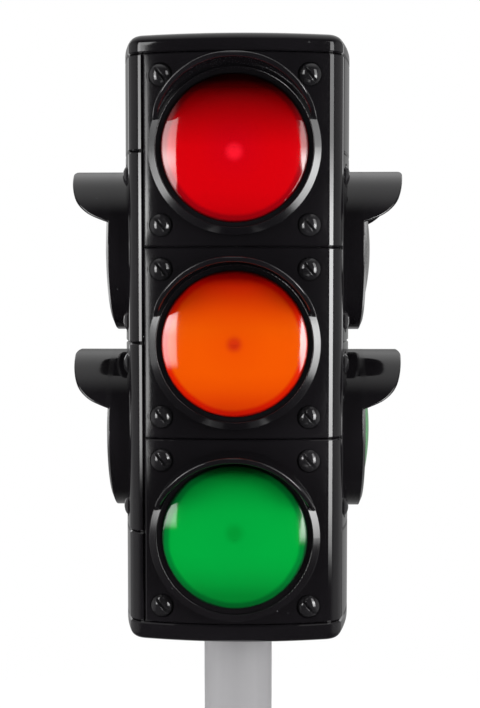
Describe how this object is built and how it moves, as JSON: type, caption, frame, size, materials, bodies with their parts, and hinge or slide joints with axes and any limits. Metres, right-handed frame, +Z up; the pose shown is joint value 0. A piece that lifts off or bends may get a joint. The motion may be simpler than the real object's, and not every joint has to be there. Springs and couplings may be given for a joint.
{
  "type": "portable traffic light",
  "caption": "Free-standing portable traffic light: four-sided signal head with hooded lamps on a round pole and a weighted base, button under the head.",
  "frame": {"origin": "centre of the footprint, on the floor", "axes": "+Z up along the pole; the three-lamp front faces -Y, its back faces +Y, the two-lamp sides face +X and -X"},
  "size_m": [0.236, 0.236, 0.7192],
  "materials": {
    "gloss_black": "high gloss moulded plastic",
    "lens_red": "translucent red plastic, gloss",
    "lens_amber": "translucent amber plastic, gloss",
    "lens_green": "translucent green plastic, gloss",
    "lens_clear": "smoky clear plastic, gloss",
    "screw_black": "gloss black coated",
    "screw_steel": "plain steel",
    "reflector_white": "white moulded plastic",
    "circuit_board": "green solder mask",
    "led_red": "tinted epoxy",
    "led_amber": "tinted epoxy",
    "led_green": "tinted epoxy",
    "core_plastic": "satin moulded plastic",
    "battery_case": "printed foil, plain",
    "contact_steel": "nickel plated",
    "component_black": "moulded",
    "button_black": "satin",
    "lead_insulation": "soft insulation",
    "pole_grey": "satin light grey",
    "base_black": "gloss moulded plastic",
    "weight_iron": "plain cast",
    "foot_rubber": "matte"
  },
  "bodies": {
    "stand": {"pole": "pole_grey", "pole_socket": "base_black", "socket_screws": "screw_steel", "base_shell": "base_black", "pole_screw": "screw_steel", "base_plate": "base_black", "base_plate_screws": "screw_steel", "base_weight": "weight_iron", "rubber_feet": "foot_rubber"},
    "head": {"amber_leds": "led_amber", "battery_cells": "battery_case", "battery_contacts": "contact_steel", "battery_door": "gloss_black", "battery_door_screw": "screw_steel", "battery_holder": "core_plastic", "board_components": "component_black", "board_screws": "screw_steel", "bottom_cap": "gloss_black", "bottom_cap_screws": "screw_steel", "control_board": "circuit_board", "front_amber_lens": "lens_amber", "front_amber_panel": "gloss_black", "front_green_lens": "lens_green", "front_green_panel": "gloss_black", "front_panel_screws": "screw_black", "front_red_lens": "lens_red", "front_red_panel": "gloss_black", "green_leds": "led_green", "head_core": "core_plastic", "internal_leads": "lead_insulation", "lamp_reflectors": "reflector_white", "left_bottom_blank_panel": "gloss_black", "left_lower_lens": "lens_green", "left_lower_panel": "gloss_black", "left_panel_screws": "screw_black", "left_top_blank_panel": "gloss_black", "left_upper_lens": "lens_clear", "left_upper_panel": "gloss_black", "mode_switch": "component_black", "rear_amber_lens": "lens_amber", "rear_amber_panel": "gloss_black", "rear_green_lens": "lens_green", "rear_green_panel": "gloss_black", "rear_panel_screws": "screw_black", "rear_red_lens": "lens_red", "rear_red_panel": "gloss_black", "red_leds": "led_red", "right_bottom_blank_panel": "gloss_black", "right_lower_lens": "lens_green", "right_lower_panel": "gloss_black", "right_panel_screws": "screw_black", "right_top_blank_panel": "gloss_black", "right_upper_lens": "lens_clear", "right_upper_panel": "gloss_black", "switch_board": "circuit_board", "three_lamp_boards": "circuit_board", "top_cap": "gloss_black", "two_lamp_boards": "circuit_board"},
    "button": {"mode_button": "button_black", "switch_plunger": "component_black"}
  },
  "joints": [
    {"name": "head_swivel", "type": "hinge", "parent": "stand", "child": "head", "pos_m": [0, 0, 0.45], "axis": [0, 0, 1], "continuous": true},
    {"name": "mode_button_press", "type": "slide", "parent": "head", "child": "button", "axis": [0, 0, 1], "range_m": [0, 0.0012], "stiffness_N_per_m": 500, "springref_m": -0.0004}
  ]
}
